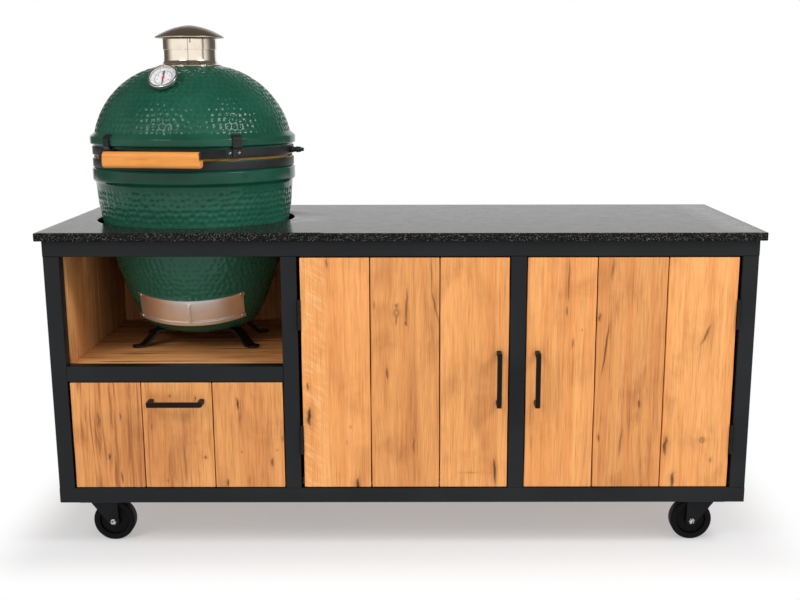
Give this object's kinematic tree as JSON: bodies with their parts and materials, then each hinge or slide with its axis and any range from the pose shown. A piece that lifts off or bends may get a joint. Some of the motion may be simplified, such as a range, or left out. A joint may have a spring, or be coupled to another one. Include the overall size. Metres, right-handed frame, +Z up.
{
  "type": "outdoor kitchen",
  "caption": "Wheeled outdoor kitchen: tube frame, stone worktop, plank doors and drawer, and a ceramic kamado grill standing in an open niche and rising through the worktop.",
  "frame": {"origin": "on the floor, under the middle of the object's outer box", "axes": "+Z up, front faces -Y, +X to the right as seen from the front, along the worktop"},
  "size_m": [1.8, 0.73, 1.329],
  "materials": {
    "frame_steel": "satin charcoal powder coat",
    "granite": "satin top, rough speckled edge",
    "board_wood": "oiled, dull",
    "plank_wood": "oiled honey wood with dark cracks and knots",
    "batten_wood": "plain sawn",
    "handle_black": "matt black",
    "hinge_steel": "satin black",
    "catch_plastic": "matt",
    "runner_zinc": "zinc plated",
    "caster_steel": "satin black",
    "wheel_rubber": "dull black",
    "zinc_bolts": "bright zinc",
    "green_glaze": "glossy dark green glaze with a dimpled surface",
    "fire_clay": "bare fired clay",
    "grate_iron": "rough cast",
    "grid_steel": "satin",
    "feet_steel": "glossy black",
    "felt": "felt",
    "band_steel": "satin black",
    "grip_wood": "varnished, bare of any mark",
    "stainless": "brushed, warm tint",
    "screw_steel": "bright",
    "dial_white": "white with plain marks",
    "dial_glass": "clear",
    "needle_black": "matt"
  },
  "bodies": {
    "cabinet": {"frame_posts": "frame_steel", "frame_rails": "frame_steel", "frame_plates": "frame_steel", "worktop": "granite", "wall_boards": "board_wood", "back_boards": "board_wood", "floor_boards": "board_wood", "niche_shelf": "board_wood", "hinge_post_leaves": "hinge_steel", "magnet_catches": "catch_plastic", "runner_outers": "runner_zinc", "caster_top_plates": "caster_steel", "caster_bolts": "zinc_bolts", "kamado_base": "green_glaze", "draft_frame": "stainless", "draft_screws": "screw_steel", "fire_box": "fire_clay", "fire_grate": "grate_iron", "fire_ring": "fire_clay", "cooking_grid": "grid_steel", "kamado_feet": "feet_steel", "base_gasket": "felt", "base_band": "band_steel", "lid_hinge_bracket": "band_steel"},
    "lid": {"kamado_lid": "green_glaze", "lid_gasket": "felt", "lid_band": "band_steel", "handle_grip": "grip_wood", "handle_brackets": "band_steel", "lid_bolts": "band_steel", "lid_hinge_arm": "band_steel", "chimney": "stainless", "thermometer_case": "stainless", "thermometer_dial": "dial_white", "thermometer_glass": "dial_glass"},
    "needle": {"thermometer_needle": "needle_black"},
    "chimney_cap": {"chimney_sleeve": "stainless", "rain_cap": "stainless"},
    "draft_slider": {"draft_door": "stainless"},
    "left_door": {"left_door_planks": "plank_wood", "left_door_battens": "batten_wood", "left_door_handle": "handle_black", "left_door_leaves": "hinge_steel"},
    "right_door": {"right_door_planks": "plank_wood", "right_door_battens": "batten_wood", "right_door_handle": "handle_black", "right_door_leaves": "hinge_steel"},
    "drawer": {"drawer_front": "plank_wood", "drawer_box": "batten_wood", "drawer_handle": "handle_black", "runner_inners": "runner_zinc"},
    "runner_middle": {"runner_middles": "runner_zinc"},
    "caster_front_left": {"caster_fork_front_left": "caster_steel"},
    "wheel_front_left": {"caster_wheel_front_left": "wheel_rubber"},
    "caster_front_right": {"caster_fork_front_right": "caster_steel"},
    "wheel_front_right": {"caster_wheel_front_right": "wheel_rubber"},
    "caster_rear_left": {"caster_fork_rear_left": "caster_steel"},
    "wheel_rear_left": {"caster_wheel_rear_left": "wheel_rubber"},
    "caster_rear_right": {"caster_fork_rear_right": "caster_steel"},
    "wheel_rear_right": {"caster_wheel_rear_right": "wheel_rubber"}
  },
  "joints": [
    {"name": "lid_hinge", "type": "hinge", "parent": "cabinet", "child": "lid", "pos_m": [-0.51536, 0.32368, 0.994], "axis": [-0.989, 0.1478, 0], "range_deg": [0, 75]},
    {"name": "needle_turn", "type": "hinge", "parent": "lid", "child": "needle", "pos_m": [-0.59651, -0.14315, 1.18613], "axis": [0.15, 0.691, -0.7071], "range_deg": [0, 250]},
    {"name": "chimney_cap_turn", "type": "hinge", "parent": "lid", "child": "chimney_cap", "pos_m": [-0.56, 0.025, 1.28], "axis": [0, 0, 1], "range_deg": [0, 45]},
    {"name": "draft_slide", "type": "hinge", "parent": "cabinet", "child": "draft_slider", "pos_m": [-0.56, 0.0333, 0.6515], "axis": [0, -0.2924, 0.9563], "range_deg": [0, 40]},
    {"name": "left_door_hinge", "type": "hinge", "parent": "cabinet", "child": "left_door", "pos_m": [-0.2555, -0.323, 0.457], "axis": [0, 0, -1], "range_deg": [0, 92]},
    {"name": "right_door_hinge", "type": "hinge", "parent": "cabinet", "child": "right_door", "pos_m": [0.8415, -0.323, 0.457], "axis": [0, 0, 1], "range_deg": [0, 120]},
    {"name": "drawer_slide", "type": "slide", "parent": "cabinet", "child": "drawer", "axis": [0, -1, 0], "range_m": [0, 0.4]},
    {"name": "runner_slide", "type": "slide", "parent": "cabinet", "child": "runner_middle", "axis": [0, -1, 0], "range_m": [0, 0.2]},
    {"name": "swivel_front_left", "type": "hinge", "parent": "cabinet", "child": "caster_front_left", "pos_m": [-0.789, -0.24, 0.112], "axis": [0, 0, 1], "continuous": true},
    {"name": "roll_front_left", "type": "hinge", "parent": "caster_front_left", "child": "wheel_front_left", "pos_m": [-0.765, -0.24, 0.054], "axis": [0, 1, 0], "continuous": true},
    {"name": "swivel_front_right", "type": "hinge", "parent": "cabinet", "child": "caster_front_right", "pos_m": [0.789, -0.24, 0.112], "axis": [0, 0, 1], "continuous": true},
    {"name": "roll_front_right", "type": "hinge", "parent": "caster_front_right", "child": "wheel_front_right", "pos_m": [0.765, -0.24, 0.054], "axis": [0, 1, 0], "continuous": true},
    {"name": "swivel_rear_left", "type": "hinge", "parent": "cabinet", "child": "caster_rear_left", "pos_m": [-0.789, 0.27, 0.112], "axis": [0, 0, 1], "continuous": true},
    {"name": "roll_rear_left", "type": "hinge", "parent": "caster_rear_left", "child": "wheel_rear_left", "pos_m": [-0.765, 0.27, 0.054], "axis": [0, 1, 0], "continuous": true},
    {"name": "swivel_rear_right", "type": "hinge", "parent": "cabinet", "child": "caster_rear_right", "pos_m": [0.789, 0.27, 0.112], "axis": [0, 0, 1], "continuous": true},
    {"name": "roll_rear_right", "type": "hinge", "parent": "caster_rear_right", "child": "wheel_rear_right", "pos_m": [0.765, 0.27, 0.054], "axis": [0, 1, 0], "continuous": true}
  ],
  "couplings": [
    {"joint": "runner_slide", "follows": "drawer_slide", "ratio": 0.5}
  ]
}
